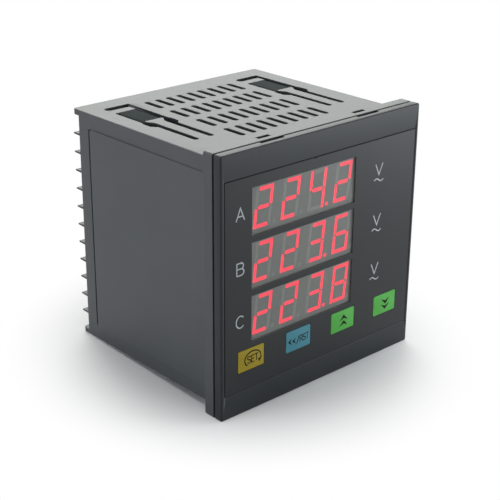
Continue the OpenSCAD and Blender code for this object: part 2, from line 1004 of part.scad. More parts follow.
// Pan head screws that hold the display board to the bezel's bosses
module board_screws() {
    color([0.75, 0.75, 0.76])
        at_bosses()
            difference() {
                union() {
                    bar_y(board_screw_r - tiny, board_rear - board_screw_len, board_rear + sink);
                    bar_y(pan_r, board_rear, board_rear + pan_h);
                }
                cross_recess(board_rear + pan_h, board_cross);
            }
}

// A chip lying on a face that looks along +Z: body and two rows of legs
module chip(length, width, height, legs) {
    pitch = length / (legs / 2 + 0.5);
    leg = 0.42;
    foot = [leg, 1.2, 0.3];
    shin = [leg, 0.4, height / 2];
    union() {
        translate([-length / 2, -width / 2, gap])
            cube([length, width, height - gap]);
        for (i = [0:legs / 2 - 1], s = [-1, 1])
            translate([(i - (legs / 2 - 1) / 2) * pitch, s * width / 2, 0]) {
                translate([0, s * (foot[1] / 2 - sink), foot[2] / 2])
                    cube(foot, center = true);
                translate([0, s * (shin[1] / 2 - sink), shin[2] / 2])
                    cube(shin, center = true);
            }
    }
}

// Stands its children, drawn along +Z, on the back of the display board at x, z
module on_board_back(x, z) {
    translate([x, board_rear, z])
        rotate([-90, 0, 0])
            children();
}

module processor() {
    color([0.09, 0.09, 0.10])
        on_board_back(processor_x, chip_row_z)
            chip(12, 12, 1.8, 24);
}

module driver_chips() {
    color([0.10, 0.10, 0.11])
        for (x = [-driver_x, driver_x])
            on_board_back(x, chip_row_z)
                rotate([0, 0, 90])
                    chip(17.8, 7.5, 2.4, 28);
}

module crystal() {
    color([0.78, 0.78, 0.76])
        on_board_back(crystal_x, chip_row_z)
            linear_extrude(crystal_h)
                union() {
                    square([crystal_w, 2 * crystal_r], center = true);
                    for (s = [-1, 1])
                        translate([s * crystal_w / 2, 0])
                            circle(crystal_r, $fn = 32);
                }
}

// ---- links between the boards ----

// Strip of square pins that joins the display board to a side board
module header_strip() {
    x0 = side_x - header_w;
    difference() {
        box([x0, board_rear, -header_n * header_pitch / 2],
            [side_x, board_rear + header_w, header_n * header_pitch / 2]);
        for (i = [0:header_n - 1])
            translate([board_face_x - pin_w / 2, board_rear, (i - (header_n - 1) / 2) * header_pitch])
                cube([pin_w + 2 * tiny, 4 * header_w, pin_w + 2 * tiny], center = true);
    }
}

module board_headers() {
    color([0.11, 0.11, 0.12])
        both_sides()
            header_strip();
}

module header_pins() {
    color([0.82, 0.70, 0.40])
        both_sides()
            for (i = [0:header_n - 1])
                translate([board_face_x - pin_w / 2, 0, (i - (header_n - 1) / 2) * header_pitch])
                    box([-pin_w / 2, board_rear, -pin_w / 2],
                        [pin_w / 2, side_board_y0 + pin_reach, pin_w / 2]);
}

module side_board() {
    box([board_face_x, side_board_y0, -side_board_h / 2],
        [side_x, side_board_y1, side_board_h / 2]);
}

module left_board() {
    color([0.10, 0.36, 0.18])
        mirror([1, 0, 0])
            side_board();
}

module right_board() {
    color([0.10, 0.36, 0.18])
        side_board();
}

// ---- terminals ----

// Places its children at every terminal of the column on the +X side
module at_terminals() {
    for (i = [0:term_n - 1])
        translate([0, 0, (i - (term_n - 1) / 2) * term_pitch])
            children();
}

// Places its children at every barrier between two terminals
module at_fins() {
    for (i = [1:term_n - 1])
        translate([0, 0, (i - term_n / 2) * term_pitch])
            children();
}

// Half the thickness of a barrier fin at y: it tapers from the deck to its tip
function fin_half(y) =
    (fin_t + (fin_tip_t - fin_t) * max(0, y - deck_y) / (fin_end - deck_y)) / 2;

// A barrier fin from y0 to its tip, over the stretch from x0 to x1
module fin(x0, x1, y0) {
    translate([x0, 0, 0])
        rotate([90, 0, 90])
            linear_extrude(x1 - x0)
                polygon([
                    [y0, -fin_half(y0)],
                    [fin_end, -fin_half(fin_end)],
                    [fin_end, fin_half(fin_end)],
                    [y0, fin_half(y0)],
                ]);
}

// Barrier terminal block for the +X side
module terminal_block() {
    x0 = block_in_x + block_play;
    x1 = case_in / 2 - block_play;
    difference() {
        union() {
            box([x0, block_y0, -block_h / 2], [x1, deck_y, block_h / 2]);
            box([x0, block_y0, -block_h / 2], [x0 + block_wall, fin_end, block_h / 2]);
            box([block_in_x - block_lip, side_end, -block_h / 2],
                [x0 + block_wall, side_end + block_lip_t, block_h / 2]);
            at_fins() {
                fin(x0, x1, deck_y - sink);
                fin(x1 - over, case_size / 2, side_end);
            }
        }
        at_terminals() {
            translate([screw_x, 0, 0])
                bar_y(screw_r + screw_play, deck_y - screw_bore, deck_y + over, 32);
            box([board_face_x - leg_t - 2 * leg_play, block_y0 - over, leg_z - leg_play],
                [board_face_x + leg_play, deck_y + over, leg_z + leg_w + leg_play]);
        }
    }
}

module left_terminal_block() {
    color([0.15, 0.16, 0.17])
        rotate([0, 180, 0])
            terminal_block();
}

module right_terminal_block() {
    color([0.15, 0.16, 0.17])
        terminal_block();
}

// Brass contacts: a tapped plate on the deck and a leg down to the side board
module terminal_contacts() {
    half = washer_w / 2 - plate_side;
    color([0.80, 0.66, 0.34])
        both_sides()
            at_terminals()
                difference() {
                    union() {
                        box([screw_x - plate_in, deck_y, -half],
                            [case_in / 2 - plate_out, contact_y, half]);
                        box([board_face_x - leg_t, side_board_y1 - leg_reach, leg_z],
                            [board_face_x, contact_y, leg_z + leg_w]);
                    }
                    translate([screw_x, 0, 0])
                        bar_y(screw_r, deck_y - over, contact_y + over, 32);
                }
}

// Square washers that press the wires onto the contacts
module clamp_washers() {
    color([0.78, 0.78, 0.76])
        both_sides()
            at_terminals()
                translate([screw_x, 0, 0])
                    front_plate(contact_y, washer_y)
                        difference() {
                            square(washer_w, center = true);
                            circle(screw_r + screw_play / 2, $fn = 32);
                        }
}

module terminal_screws() {
    color([0.80, 0.80, 0.78])
        both_sides()
            at_terminals()
                translate([screw_x, 0, 0])
                    difference() {
                        union() {
                            bar_y(screw_r - tiny, deck_y - screw_len, washer_y + sink, 32);
                            bar_y(head_r, washer_y, washer_y + head_h, 32);
                        }
                        cross_recess(washer_y + head_h, screw_cross);
                    }
}

// ---- parts on the side boards ----

// Stands its children, drawn along +Z, on the inner face of a side board at y, z
module on_side_board(side, y, z) {
    translate([side * board_face_x, y, z])
        rotate([0, -side * 90, 0])
            children();
}

// Three potted transformers that sense the phase voltages
module voltage_transformers() {
    color([0.12, 0.13, 0.20])
        for (z = phase_zs)
            on_side_board(-1, sensor_y, z)
                linear_extrude(sensor_h)
                    rounded(sensor_w, sensor_len, sensor_r);
}

// Two wire-ended resistors in series with each phase
module input_resistors() {
    color([0.35, 0.55, 0.72])
        for (z = phase_zs, dz = [-resistor_dz, resistor_dz])
            on_side_board(-1, resistor_y, z + dz)
                union() {
                    translate([0, 0, resistor_up])
                        rotate([90, 0, 0]) {
                            cylinder(r = resistor_r, h = resistor_len, center = true, $fn = 32);
                            cylinder(r = wire_r, h = wire_span, center = true, $fn = 16);
                        }
                    for (e = [-1, 1])
                        translate([0, e * wire_span / 2, 0])
                            cylinder(r = wire_r, h = resistor_up + wire_r, $fn = 16);
                }
}

module metering_chip() {
    color([0.10, 0.10, 0.11])
        on_side_board(-1, metering_y, 0)
            chip(15.4, 7.5, 2.4, 24);
}

// Laminated core with two windows, seen along the stack
module transformer_core() {
    color([0.42, 0.43, 0.45])
        on_side_board(1, core_y, core_z)
            rotate([90, 0, 0])
                linear_extrude(core_t, center = true)
                    difference() {
                        translate([-core_w / 2, 0])
                            square([core_w, core_h]);
                        for (s = [-1, 1])
                            translate([s * core_w / 4, core_h / 2])
                                square([core_w / 2 - core_leg, core_h - core_leg], center = true);
                    }
}

// Moulded bobbin around the middle leg, with a flange at each end
module transformer_bobbin() {
    room_w = core_w - core_leg;
    room_h = core_h - core_leg;
    tube = [core_leg + 2 * bobbin_wall, core_t + 2 * bobbin_wall, room_h - 2 * core_play];
    flange = [room_w - 4 * core_play, core_t + 2 * bobbin_out, bobbin_flange];
    color([0.86, 0.84, 0.76])
        on_side_board(1, core_y, core_z)
            translate([0, 0, core_h / 2])
                difference() {
                    union() {
                        cube(tube, center = true);
                        for (s = [-1, 1])
                            translate([0, 0, s * (tube[2] - flange[2]) / 2])
                                cube(flange, center = true);
                    }
                    cube([core_leg + 2 * core_play, core_t + 2 * core_play, core_h], center = true);
                }
}

// Winding between the bobbin's flanges
module transformer_winding() {
    inside = core_h - core_leg - 2 * core_play - 2 * bobbin_flange - gap;
    core_room = 2 * bobbin_wall + gap;
    color([0.62, 0.36, 0.16])
        on_side_board(1, core_y, core_z)
            translate([0, 0, core_h / 2])
                difference() {
                    linear_extrude(inside, center = true)
                        rounded(core_w - core_leg - 2 * winding_gap,
                            core_t + 2 * (bobbin_out - winding_in), winding_r);
                    cube([core_leg + core_room, core_t + core_room, core_h], center = true);
                }
}

// Standing electrolytic capacitor: rolled foot, crimp above it, and rounded rim
module electrolytic(r, h) {
    roll = 0.4;
    crimp = 0.5;
    crimp_z = 2.1;
    dish = 0.2;
    rotate_extrude($fn = 48)
        polygon([
            [0, 0], [r - roll, 0], [r, roll], [r, crimp_z - crimp], [r - crimp, crimp_z],
            [r - crimp, crimp_z + roll], [r, crimp_z + roll + crimp], [r, h - crimp],
            [r - crimp, h], [r - 2 * crimp, h], [r - 2 * crimp - dish, h - dish], [0, h - dish],
        ]);
}

module main_capacitor() {
    color([0.13, 0.16, 0.30])
        on_side_board(1, main_cap[0], main_cap[1])
            electrolytic(5, 16);
}

module output_capacitor() {
    color([0.13, 0.16, 0.30])
        on_side_board(1, output_cap[0], output_cap[1])
            electrolytic(4, 11.5);
}

module rectifier() {
    color([0.12, 0.12, 0.13])
        on_side_board(1, bridge[0], bridge[1])
            chip(8.4, 6.4, 3.3, 4);
}

// Upright regulator: three legs, moulded body and drilled tab
module regulator() {
    leg = [0.8, 0.6, reg_up + sink];
    body_t = 4.4;
    tab_t = 1.3;
    color([0.20, 0.20, 0.21])
        on_side_board(1, reg_place[0], reg_place[1])
            difference() {
                union() {
                    for (x = [-header_pitch, 0, header_pitch])
                        translate([x, 0, leg[2] / 2])
                            cube(leg, center = true);
                    translate([-reg_w / 2, -body_t / 2 + reg_back, reg_up])
                        cube([reg_w, body_t, reg_body]);
                    translate([-reg_w / 2, body_t / 2 + reg_back - tab_t, reg_up + reg_body - sink])
                        cube([reg_w, tab_t, reg_tab + sink]);
                }
                translate([0, 0, reg_up + reg_body + reg_tab / 2])
                    rotate([-90, 0, 0])
                        cylinder(r = reg_hole_r, h = body_t + over, $fn = 32);
            }
}

// Two alarm relays behind the terminals
module relays() {
    color([0.16, 0.30, 0.60])
        for (z = relay_zs)
            on_side_board(1, relay_y, z)
                linear_extrude(relay_h)
                    rounded(relay_w, relay_len, relay_r);
}

case();
bezel();
overlay();
display_lens();
display_a();
display_b();
display_c();
lit_segments();
dark_segments();
set_key();
shift_key();
up_key();
down_key();
set_button();
shift_button();
up_button();
down_button();
tact_switches();
display_board();
board_screws();
processor();
driver_chips();
crystal();
board_headers();
header_pins();
left_board();
right_board();
left_terminal_block();
right_terminal_block();
terminal_contacts();
clamp_washers();
terminal_screws();
voltage_transformers();
input_resistors();
metering_chip();
transformer_core();
transformer_bobbin();
transformer_winding();
main_capacitor();
output_capacitor();
rectifier();
regulator();
relays();
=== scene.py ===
import json
import math

import bmesh
import bpy
from mathutils import Matrix, Vector
from mathutils.bvhtree import BVHTree


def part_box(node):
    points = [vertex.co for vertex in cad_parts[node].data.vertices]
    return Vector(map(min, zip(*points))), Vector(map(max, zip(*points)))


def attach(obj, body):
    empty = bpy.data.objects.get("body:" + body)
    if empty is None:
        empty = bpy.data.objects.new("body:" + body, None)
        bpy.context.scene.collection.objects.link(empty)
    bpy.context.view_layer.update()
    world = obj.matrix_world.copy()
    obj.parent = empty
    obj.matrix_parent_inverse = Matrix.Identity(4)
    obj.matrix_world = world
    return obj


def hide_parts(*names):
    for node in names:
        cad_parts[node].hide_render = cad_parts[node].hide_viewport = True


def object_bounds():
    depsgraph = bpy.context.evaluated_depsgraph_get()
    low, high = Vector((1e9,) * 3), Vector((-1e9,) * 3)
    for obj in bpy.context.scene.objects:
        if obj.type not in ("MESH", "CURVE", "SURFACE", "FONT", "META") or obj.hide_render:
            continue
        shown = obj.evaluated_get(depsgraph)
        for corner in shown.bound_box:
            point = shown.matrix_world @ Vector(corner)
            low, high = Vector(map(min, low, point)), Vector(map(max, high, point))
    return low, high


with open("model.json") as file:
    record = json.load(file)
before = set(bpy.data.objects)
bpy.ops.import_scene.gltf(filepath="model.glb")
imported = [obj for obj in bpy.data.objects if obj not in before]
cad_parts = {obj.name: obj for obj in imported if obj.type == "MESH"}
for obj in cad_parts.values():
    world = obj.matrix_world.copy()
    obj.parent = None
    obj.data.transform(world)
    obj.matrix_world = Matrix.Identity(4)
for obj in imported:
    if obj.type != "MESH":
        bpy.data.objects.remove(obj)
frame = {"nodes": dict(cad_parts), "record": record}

cad_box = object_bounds()


# ---- Studio ----
# A pale table against a white backdrop. One large soft box hangs behind and above the meter and
# another right over it, and two small ones stand low at its left and at its right. The meter
# stands on the bottom edge of its bezel and on the rear lip of its case, so the table leans.

def colour(red, green, blue):
    """An eight-bit screen colour as the linear values that a shader takes."""
    linear = []
    for part in (red, green, blue):
        share = part / 255
        linear.append(share / 12.92 if share <= 0.04045 else ((share + 0.055) / 1.055) ** 2.4)
    return (*linear, 1.0)


def link_piece(name, mesh):
    """Puts a new mesh into the scene as an object."""
    piece = bpy.data.objects.new(name, mesh)
    bpy.context.scene.collection.objects.link(piece)
    return piece


def new_finish(name):
    """A fresh material, its node tree and its main shader."""
    finish = bpy.data.materials.new(name)
    finish.use_nodes = True
    tree = finish.node_tree
    return finish, tree, tree.nodes["Principled BSDF"]


def math_node(tree, operation, first, second=0.0):
    """A math node whose inputs are sockets or plain numbers; gives its output socket."""
    node = tree.nodes.new("ShaderNodeMath")
    node.operation = operation
    for slot, value in enumerate((first, second)):
        if hasattr(value, "node"):
            tree.links.new(value, node.inputs[slot])
        else:
            node.inputs[slot].default_value = value
    return node.outputs[0]


def both(tree, first, second):
    """One where two masks are both one."""
    return math_node(tree, "MULTIPLY", first, second)


def place_node(tree, operation, fixed):
    """A vector node that takes the place on the object, in metres, and a fixed vector."""
    place = tree.nodes.new("ShaderNodeTexCoord")
    node = tree.nodes.new("ShaderNodeVectorMath")
    node.operation = operation
    node.inputs[1].default_value = fixed
    tree.links.new(place.outputs["Object"], node.inputs[0])
    return node


def white_seen(tree):
    """One for what is seen, straight, mirrored or through clear plastic, and nought for light."""
    rays = tree.nodes.new("ShaderNodeLightPath").outputs
    seen = math_node(tree, "MAXIMUM", rays["Is Camera Ray"], rays["Is Transmission Ray"])
    return math_node(tree, "MAXIMUM", seen, rays["Is Glossy Ray"])


def mixed_surface(tree, output, share, under, over):
    """Shows the shader over where share is one, and the shader under where it is nought."""
    mix = tree.nodes.new("ShaderNodeMixShader")
    for slot, socket in enumerate((share, under, over)):
        tree.links.new(socket, mix.inputs[slot])
    tree.links.new(mix.outputs["Shader"], tree.nodes[output].inputs["Surface"])


# The meter's shadow shows on the table as far as shadow_reach from under its middle. It fades
# from there on, and from white_from outwards the table is as white as the backdrop.
table_half = 4.0
shadow_reach = 0.046
white_from = 0.095

front_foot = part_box("bezel")[0]
behind_flange = 0.03
lip_foot = min(v.co.z for v in frame["nodes"]["case"].data.vertices if v.co.y > behind_flange)
lean = math.atan2(lip_foot - front_foot.z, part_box("case")[1].y - front_foot.y)

table = bpy.data.meshes.new("table_top")
corners = [(x * table_half, y * table_half, 0) for x, y in ((-1, -1), (1, -1), (1, 1), (-1, 1))]
table.from_pydata(corners, [], [(0, 1, 2, 3)])
table_top = link_piece("table_top", table)
table_top.location = (0, front_foot.y, front_foot.z)
table_top.rotation_euler = (lean, 0, 0)

paper, tree, shader = new_finish("table_paper")
shader.inputs["Base Color"].default_value = colour(250, 250, 250)
shader.inputs["Roughness"].default_value = 0.7
shader.inputs["Specular IOR Level"].default_value = 0.2
under_middle = (0, cad_box[0].y / 2 + cad_box[1].y / 2 - front_foot.y, 0)
fade = tree.nodes.new("ShaderNodeMapRange")
fade.interpolation_type = "SMOOTHSTEP"
fade.inputs["From Min"].default_value = shadow_reach
fade.inputs["From Max"].default_value = white_from
tree.links.new(place_node(tree, "DISTANCE", under_middle).outputs["Value"], fade.inputs["Value"])
glow = tree.nodes.new("ShaderNodeEmission")
whiteness = both(tree, white_seen(tree), fade.outputs["Result"])
mixed_surface(tree, "Material Output", whiteness, shader.outputs["BSDF"], glow.outputs["Emission"])
table.materials.append(paper)

world = bpy.data.worlds.new("tent")
bpy.context.scene.world = world
world.use_nodes = True
tent = world.node_tree
cloth = tent.nodes["Background"]
cloth.inputs["Color"].default_value = (0.93, 0.97, 1.0, 1)
cloth.inputs["Strength"].default_value = 0.05
backdrop = tent.nodes.new("ShaderNodeBackground")
backdrop.inputs["Color"].default_value = (1, 1, 1, 1)
mixed_surface(tent, "World Output", white_seen(tent), cloth.outputs["Background"],
              backdrop.outputs["Background"])


def soft_box(name, place, aim, width, power, tint):
    """A square studio lamp that points at aim; width in metres and power in watts."""
    lamp = bpy.data.lights.new(name, "AREA")
    lamp.shape = "SQUARE"
    lamp.size = width
    lamp.energy = power
    lamp.color = tint
    holder = bpy.data.objects.new(name, lamp)
    bpy.context.scene.collection.objects.link(holder)
    holder.visible_camera = False
    holder.location = place
    holder.rotation_mode = "QUATERNION"
    holder.rotation_quaternion = (Vector(aim) - Vector(place)).to_track_quat("-Z", "Y")


soft_box("rear_soft_box", (0.50, 0.75, 0.62), (0, 0.03, 0.0), 0.8, 6.7, (0.97, 1.0, 0.94))
soft_box("top_soft_box", (0.0, 0.0, 0.90), (0, 0, 0), 0.7, 4.0, (0.97, 1.0, 0.99))
soft_box("left_soft_box", (-0.70, 0.25, 0.20), (0, 0.03, 0.0), 0.4, 1.7, (0.90, 0.94, 1.0))
soft_box("right_soft_box", (0.31, -0.24, 0.05), (0.03, -0.01, 0.0), 0.22, 1.0, (0.90, 0.95, 1.0))

heading = math.radians(42.37)
dip = math.radians(22.45)
roll = math.radians(-0.36)
field = math.radians(23.237)
eye = (-0.2861, -0.2837, 0.1668)
camera = bpy.data.objects.new("camera", bpy.data.cameras.new("camera"))
bpy.context.scene.collection.objects.link(camera)
camera.data.sensor_width = 36
camera.data.lens = camera.data.sensor_width / 2 / math.tan(field / 2)
camera.data.clip_start = 0.01
camera.location = eye
look = Vector((math.sin(heading) * math.cos(dip), math.cos(heading) * math.cos(dip), -math.sin(dip)))
level = look.to_track_quat("-Z", "Y")
camera.rotation_mode = "QUATERNION"
camera.rotation_quaternion = Matrix.Rotation(roll, 4, look).to_quaternion() @ level
bpy.context.scene.camera = camera
bpy.context.scene.view_settings.view_transform = "Standard"


# ---- Case ----
# The box behind the panel: one injection moulding in flame-retardant ABS, open at the front
# and at the terminals, with vent slots and ratchet rails on top and underneath. The tool is
# spark eroded, so every outer face has a fine dull grain, and its edges come out rolled.

x_axis, y_axis, z_axis = range(3)


def speckle(tree, size, detail=3):
    """Cloudy noise whose spots are about size metres across."""
    place = tree.nodes.new("ShaderNodeTexCoord")
    cloud = tree.nodes.new("ShaderNodeTexNoise")
    cloud.inputs["Scale"].default_value = 1 / size
    cloud.inputs["Detail"].default_value = detail
    tree.links.new(place.outputs["Object"], cloud.inputs["Vector"])
    return cloud.outputs["Fac"]


def spread(tree, cloud, low, high, target):
    """Feeds a socket with values from low to high that follow cloudy noise."""
    scale = tree.nodes.new("ShaderNodeMapRange")
    scale.inputs["To Min"].default_value = low
    scale.inputs["To Max"].default_value = high
    tree.links.new(cloud, scale.inputs["Value"])
    tree.links.new(scale.outputs["Result"], target)


def emboss(tree, shader, height, depth, strength=0.6):
    """Raises the surface by depth metres where height is one."""
    relief = tree.nodes.new("ShaderNodeBump")
    relief.inputs["Distance"].default_value = depth
    relief.inputs["Strength"].default_value = strength
    tree.links.new(height, relief.inputs["Height"])
    tree.links.new(relief.outputs["Normal"], shader.inputs["Normal"])


def moulded(name, tint, roughness, grain=0.00035, depth=0.00002, mottle=0.08, metal=0.0):
    """Spark-eroded grain, faint flow mottle and slightly uneven gloss, in plastic or metal."""
    mottle_size = 0.022
    uneven_gloss = 0.05
    finish, tree, shader = new_finish(name)
    tones = tree.nodes.new("ShaderNodeValToRGB")
    for end, share in enumerate((1 - mottle, 1 + mottle)):
        tones.color_ramp.elements[end].position = 0.3 + 0.4 * end
        tones.color_ramp.elements[end].color = [part * share for part in tint[:3]] + [1]
    tree.links.new(speckle(tree, mottle_size, 4), tones.inputs["Fac"])
    tree.links.new(tones.outputs["Color"], shader.inputs["Base Color"])
    pits = speckle(tree, grain)
    spread(tree, pits, roughness - uneven_gloss, roughness + uneven_gloss, shader.inputs["Roughness"])
    shader.inputs["Metallic"].default_value = metal
    emboss(tree, shader, pits, depth)
    return finish


def rolled(node, body, radius, finish, crisp=None):
    """The node's own shape with its outer edges rolled over, shown in the node's place. Edges
    of very narrow faces stay sharp, and so do all edges whose middle is in the crisp region."""
    flat_bend = math.radians(0.5)
    corner_bend = math.radians(40)
    crease_bend = math.radians(48)
    weld = 2e-6
    room = 4 * radius
    mesh = frame["nodes"][node].data.copy()
    mesh.materials.clear()
    shell = bmesh.new()
    shell.from_mesh(mesh)
    bmesh.ops.remove_doubles(shell, verts=shell.verts, dist=weld / 2)
    bmesh.ops.dissolve_limit(shell, angle_limit=flat_bend, verts=shell.verts, edges=shell.edges)

    def face_depth(edge, face):
        """How far a face reaches away from one of its edges."""
        along = (edge.verts[1].co - edge.verts[0].co).normalized()
        across = along.cross(face.normal)
        return max(abs((vert.co - edge.verts[0].co).dot(across)) for vert in face.verts)

    outer = [
        edge for edge in shell.edges
        if edge.is_convex and edge.calc_face_angle() > corner_bend
        and min(face_depth(edge, face) for face in edge.link_faces) > room
        and not (crisp and crisp((edge.verts[0].co + edge.verts[1].co) / 2))
    ]
    bmesh.ops.bevel(shell, geom=outer, offset=radius, segments=2, profile=0.5, affect="EDGES")
    bmesh.ops.triangulate(shell, faces=[face for face in shell.faces if len(face.verts) > 4])
    bmesh.ops.dissolve_degenerate(shell, dist=weld, edges=shell.edges)
    bmesh.ops.remove_doubles(shell, verts=shell.verts, dist=weld)
    shell.to_mesh(mesh)
    shell.free()
    mesh.materials.append(finish)
    piece = link_piece(node + "_moulding", mesh)
    for face in mesh.polygons:
        face.use_smooth = True
    mesh.set_sharp_from_angle(angle=crease_bend)
    for edge in mesh.edges:
        first, last = (mesh.vertices[i].co for i in edge.vertices)
        if crisp and crisp((first + last) / 2):
            edge.use_edge_sharp = True
    evened = piece.modifiers.new("even_shading", "WEIGHTED_NORMAL")
    evened.keep_sharp = True
    evened.weight = 100
    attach(piece, body)
    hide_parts(node)


def dress(node, finish):
    """Gives a carried-over piece its finish."""
    mesh = frame["nodes"][node].data
    mesh.materials.clear()
    mesh.materials.append(finish)


def along_axis(tree, vector, axis):
    """One of the three parts of a vector."""
    split = tree.nodes.new("ShaderNodeSeparateXYZ")
    tree.links.new(vector, split.inputs[0])
    return split.outputs[axis]


def between(tree, axis, low, high, folded=False):
    """One where the place along an axis is from low to high; folded measures it from nought."""
    along = along_axis(tree, tree.nodes.new("ShaderNodeTexCoord").outputs["Object"], axis)
    if folded:
        along = math_node(tree, "ABSOLUTE", along)
    above = math_node(tree, "GREATER_THAN", along, low)
    below = math_node(tree, "LESS_THAN", along, high)
    return both(tree, above, below)


def outside(tree, mask):
    """One where the mask is nought."""
    return math_node(tree, "SUBTRACT", 1.0, mask)


def inlay(finish, mask, tint, roughness, metal=0.0):
    """Lays a second colour, gloss and metal over a finish where the mask is one."""
    tree = finish.node_tree
    shader = tree.nodes["Principled BSDF"]
    for name, value in (("Base Color", tint), ("Roughness", roughness), ("Metallic", metal)):
        target = shader.inputs[name]
        mix = tree.nodes.new("ShaderNodeMix")
        mix.data_type = "RGBA" if name == "Base Color" else "FLOAT"
        under, over = mix.inputs[6:8] if name == "Base Color" else mix.inputs[2:4]
        if target.is_linked:
            tree.links.new(target.links[0].from_socket, under)
        else:
            under.default_value = target.default_value
        over.default_value = value
        tree.links.new(mask, mix.inputs[0])
        tree.links.new(mix.outputs[2] if name == "Base Color" else mix.outputs[0], target)


# Painted light: rack teeth paler than the grained faces to lift their shade; no grain bump there
mounts = {mount["name"]: mount["pos_m"] for mount in frame["record"]["mounts"]}
rail_x, _, rail_z = mounts["top_right_clip_rail"]
rack_half = 0.0038
rack_from = 0.0460
rack_to = 0.0612
rack_floor = rail_z - 0.0012
rack_crest = rail_z - 0.00008
case_plastic = moulded("case_plastic", colour(60, 64, 67), 0.46)
tree = case_plastic.node_tree
rack_painted_light = both(tree, between(tree, y_axis, rack_from, rack_to),
                 between(tree, z_axis, rack_floor, rack_crest, folded=True))
rack_painted_light = both(tree, rack_painted_light,
                 between(tree, x_axis, rail_x - rack_half, rail_x + rack_half, folded=True))
inlay(case_plastic, rack_painted_light, colour(118, 123, 123), 0.5)
grain_relief = next(node for node in tree.nodes if node.bl_idname == "ShaderNodeBump")
grain_strength = grain_relief.inputs["Strength"]
tree.links.new(math_node(tree, "MULTIPLY", outside(tree, rack_painted_light), grain_strength.default_value),
               grain_strength)


def by_rack(point):
    """Whether a point is in or just beside one of the four racks."""
    gate_half = 0.0062
    margin = 0.001
    rack_depth = 0.003
    beside = abs(abs(point.x) - rail_x) < gate_half
    level = rack_from - margin < point.y < rack_to + margin
    return beside and level and abs(point.z) > rail_z - rack_depth


rolled("case", "meter", radius=0.00018, finish=case_plastic, crisp=by_rack)


# ---- Bezel ----
# The front frame: a second moulding in the same ABS, snapped into the mouth of the case by
# four hooks. Its tool is finer, so it is a little smoother and darker than the case.

def low_gloss(finish, level):
    """Weakens the mirror shine of a finish."""
    finish.node_tree.nodes["Principled BSDF"].inputs["Specular IOR Level"].default_value = level


bezel_plastic = moulded("bezel_plastic", colour(30, 35, 39), 0.44, grain=0.00025, depth=0.00001)
low_gloss(bezel_plastic, 0.3)
rolled("bezel", "meter", radius=0.00022, finish=bezel_plastic)


# ---- Overlay ----
# Printed polyester film, glued into the recess of the bezel. Its face is an even satin, and
# the phase letters and the unit marks are screen printed on it in pale grey.

ink_black = colour(19, 24, 28)
overlay_film = moulded("overlay_film", ink_black, 0.40, grain=0.00016, depth=0.000003, mottle=0.05)
low_gloss(overlay_film, 0.32)
tree = overlay_film.node_tree

# Painted light: where the windows are cut, the clear film's thin edge is painted pale grey over its
# shade
windows_left = -0.0352
windows_right = 0.0170
windows_bottom = -0.0225
windows_top = 0.0355
facing = tree.nodes.new("ShaderNodeNewGeometry").outputs["True Normal"]
turned = math_node(tree, "ABSOLUTE", along_axis(tree, facing, y_axis))
cut_edge = math_node(tree, "LESS_THAN", turned, 0.5)
window_zone = both(tree, between(tree, x_axis, windows_left, windows_right),
                   between(tree, z_axis, windows_bottom, windows_top))
inlay(overlay_film, both(tree, cut_edge, window_zone), colour(112, 112, 108), 0.5)

# Painted shadow: a near-black line round the film's rim, for the shade in the gap at the bezel
painted_shadow_rim = 0.00028
film_low, film_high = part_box("overlay")
film_inside = both(tree, between(tree, x_axis, film_low.x + painted_shadow_rim, film_high.x - painted_shadow_rim),
                   between(tree, z_axis, film_low.z + painted_shadow_rim, film_high.z - painted_shadow_rim))
inlay(overlay_film, outside(tree, film_inside), colour(5, 6, 7), 0.7)
dress("overlay", overlay_film)


def arc(x, z, across, up, start, end, steps=14):
    """Points along an elliptical arc; the angles are in degrees from the right, leftwards up."""
    turns = [math.radians(start + (end - start) * i / steps) for i in range(steps + 1)]
    return [(x + across * math.cos(t), z + up * math.sin(t)) for t in turns]


# Each letter is drawn as pen strokes in a box one high, with its middle at x = 0
pen_letters = {
    "A": [[(-0.42, 0), (0, 1), (0.42, 0)], [(-0.27, 0.34), (0.27, 0.34)]],
    "B": [
        [(-0.34, 0), (-0.34, 1), (0.08, 1), *arc(0.08, 0.765, 0.25, 0.235, 90, -90), (-0.34, 0.53)],
        [(0.08, 0.53), *arc(0.10, 0.265, 0.27, 0.265, 90, -90), (-0.34, 0)],
    ],
    "C": [arc(0.03, 0.5, 0.42, 0.5, 42, 318, 22)],
    "E": [[(0.29, 1), (-0.25, 1), (-0.25, 0), (0.31, 0)], [(-0.25, 0.53), (0.24, 0.53)]],
    "R": [
        [(-0.28, 0), (-0.28, 1), (0.04, 1), *arc(0.04, 0.76, 0.24, 0.24, 90, -90), (-0.28, 0.52)],
        [(0.03, 0.52), (0.32, 0)],
    ],
    "S": [[*arc(0, 0.755, 0.27, 0.245, 20, 270), *arc(0, 0.255, 0.28, 0.255, 90, -160)]],
    "T": [[(-0.32, 1), (0.32, 1)], [(0, 1), (0, 0)]],
    "V": [[(-0.46, 1), (0, 0), (0.46, 1)]],
    "/": [[(-0.22, -0.08), (0.22, 1.08)]],
    "~": [[(i / 8 - 1, 0.24 * math.sin(math.pi * i / 8)) for i in range(17)]],
}


def lettering(word, x, z, height, advance=0.0):
    """Pen strokes of a word about x, standing on the line z, all in metres."""
    strokes = []
    for place, letter in enumerate(word):
        middle = x + (place - (len(word) - 1) / 2) * advance
        for stroke in pen_letters[letter]:
            strokes.append([(middle + px * height, z + pz * height) for px, pz in stroke])
    return strokes


